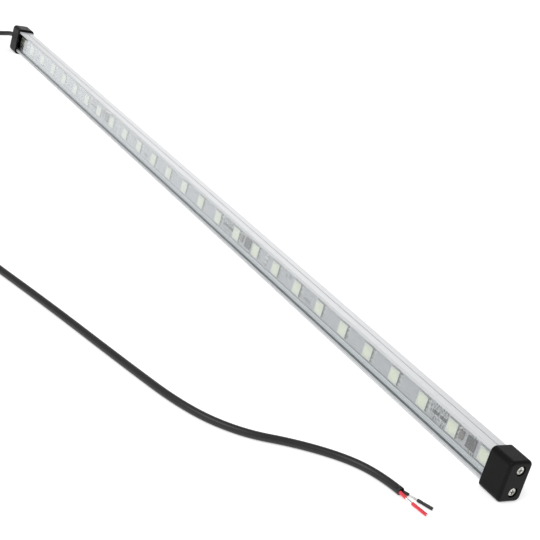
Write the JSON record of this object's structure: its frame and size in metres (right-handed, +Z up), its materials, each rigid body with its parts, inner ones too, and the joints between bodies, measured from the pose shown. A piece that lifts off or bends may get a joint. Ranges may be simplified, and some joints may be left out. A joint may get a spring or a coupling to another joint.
{
  "type": "led strip batten",
  "caption": "Slim rigid LED bar: open aluminium channel with boards of square LEDs behind a clear cover, black screwed end caps and a thin two-core lead.",
  "frame": {"origin": "on the floor, under the middle of the bar", "axes": "+X along the bar towards the end the lead leaves, +Y the way the light goes, +Z up"},
  "size_m": [0.4882, 0.1213, 0.0144],
  "materials": {
    "profile": "satin anodised, extruded",
    "cover": "clear polycarbonate",
    "tape": "grey thermal tape",
    "board": "white solder mask",
    "led_body": "white moulded package",
    "phosphor": "yellow phosphor resin",
    "chip": "black moulded package",
    "ceramic": "tan ceramic",
    "tin": "tinned",
    "solder": "bright solder",
    "cap": "fine matt moulded black",
    "gasket": "silicone",
    "screw": "nickel plated",
    "jacket": "black PVC",
    "tie": "black nylon",
    "core_red": "red PVC",
    "core_black": "black PVC",
    "strands": "tinned copper strands"
  },
  "bodies": {
    "root": {"channel_extrusion": "profile", "clear_cover": "cover", "thermal_tape": "tape", "driver_chips": "chip", "chip_pins": "tin", "resistor_bodies": "chip", "resistor_ends": "tin", "capacitors": "ceramic", "solder_bridges": "solder", "cable_grommet": "cap", "lead_to_coil": "jacket", "lead_to_end": "jacket", "lead_coil": "jacket", "coil_tie": "tie", "core_stub_red": "core_red", "core_stub_black": "core_black", "pulled_slug_red": "core_red", "pulled_slug_black": "core_black", "bare_strands_red": "strands", "bare_strands_black": "strands", "feed_wire_red": "core_red", "feed_wire_black": "core_black", "board_near": "board", "led_packages_near": "led_body", "led_phosphor_near": "phosphor", "board_middle": "board", "led_packages_middle": "led_body", "led_phosphor_middle": "phosphor", "board_far": "board", "led_packages_far": "led_body", "led_phosphor_far": "phosphor", "end_cap_near": "cap", "cap_gasket_near": "gasket", "insert_block_near": "cap", "cap_screws_near": "screw", "end_cap_far": "cap", "cap_gasket_far": "gasket", "insert_block_far": "cap", "cap_screws_far": "screw"}
  },
  "joints": []
}
